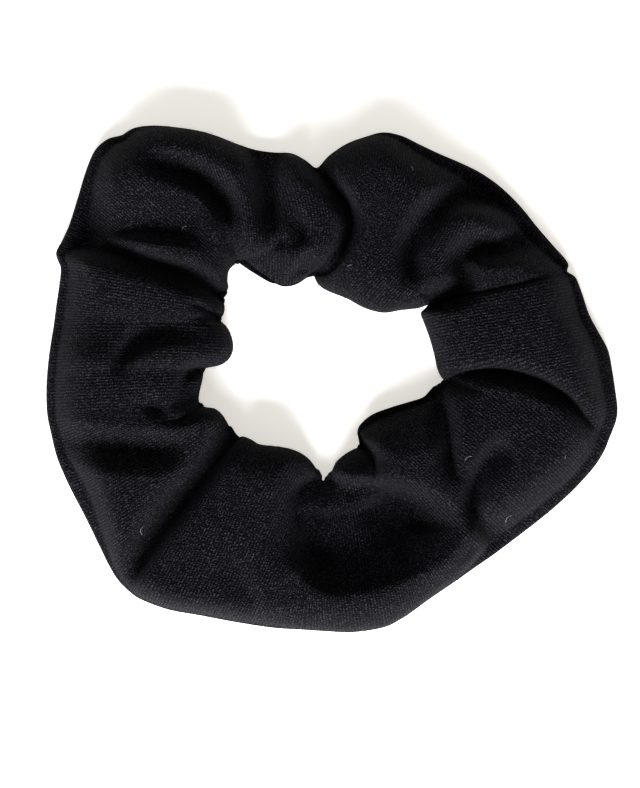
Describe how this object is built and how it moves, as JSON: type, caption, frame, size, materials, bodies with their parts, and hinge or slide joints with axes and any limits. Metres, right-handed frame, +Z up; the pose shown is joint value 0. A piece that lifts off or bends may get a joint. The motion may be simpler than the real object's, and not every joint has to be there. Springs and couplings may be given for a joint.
{
  "type": "scrunchie",
  "caption": "Ring of gathered jersey fabric over a loop of flat elastic, lying flat; it stretches open to hold hair.",
  "frame": {"origin": "middle of the ring's box, on the surface that it lies on", "axes": "+Z up out of the surface, through the hair opening; +X along the ring's longest side, towards the closing seam; +Y towards the sleeve's back half, the way it is pulled"},
  "size_m": [0.1251, 0.111, 0.0162],
  "materials": {
    "jersey": "matt black single jersey with a soft brushed sheen",
    "elastic": "black braided elastic",
    "thread": "black spun sewing thread"
  },
  "bodies": {
    "front": {"sleeve_front": "jersey", "elastic_band": "elastic", "side_seam_needle_thread": "thread", "side_seam_bobbin_thread": "thread", "closing_seam_needle_thread": "thread", "closing_seam_bobbin_thread": "thread", "elastic_join_needle_thread": "thread", "elastic_join_bobbin_thread": "thread"},
    "back": {"sleeve_back": "jersey"}
  },
  "joints": [
    {"name": "elastic_stretch", "type": "slide", "parent": "front", "child": "back", "axis": [0, 1, 0], "range_m": [0, 0.06], "stiffness_N_per_m": 120, "deforming": ["elastic_band", "side_seam_needle_thread", "side_seam_bobbin_thread"]}
  ]
}
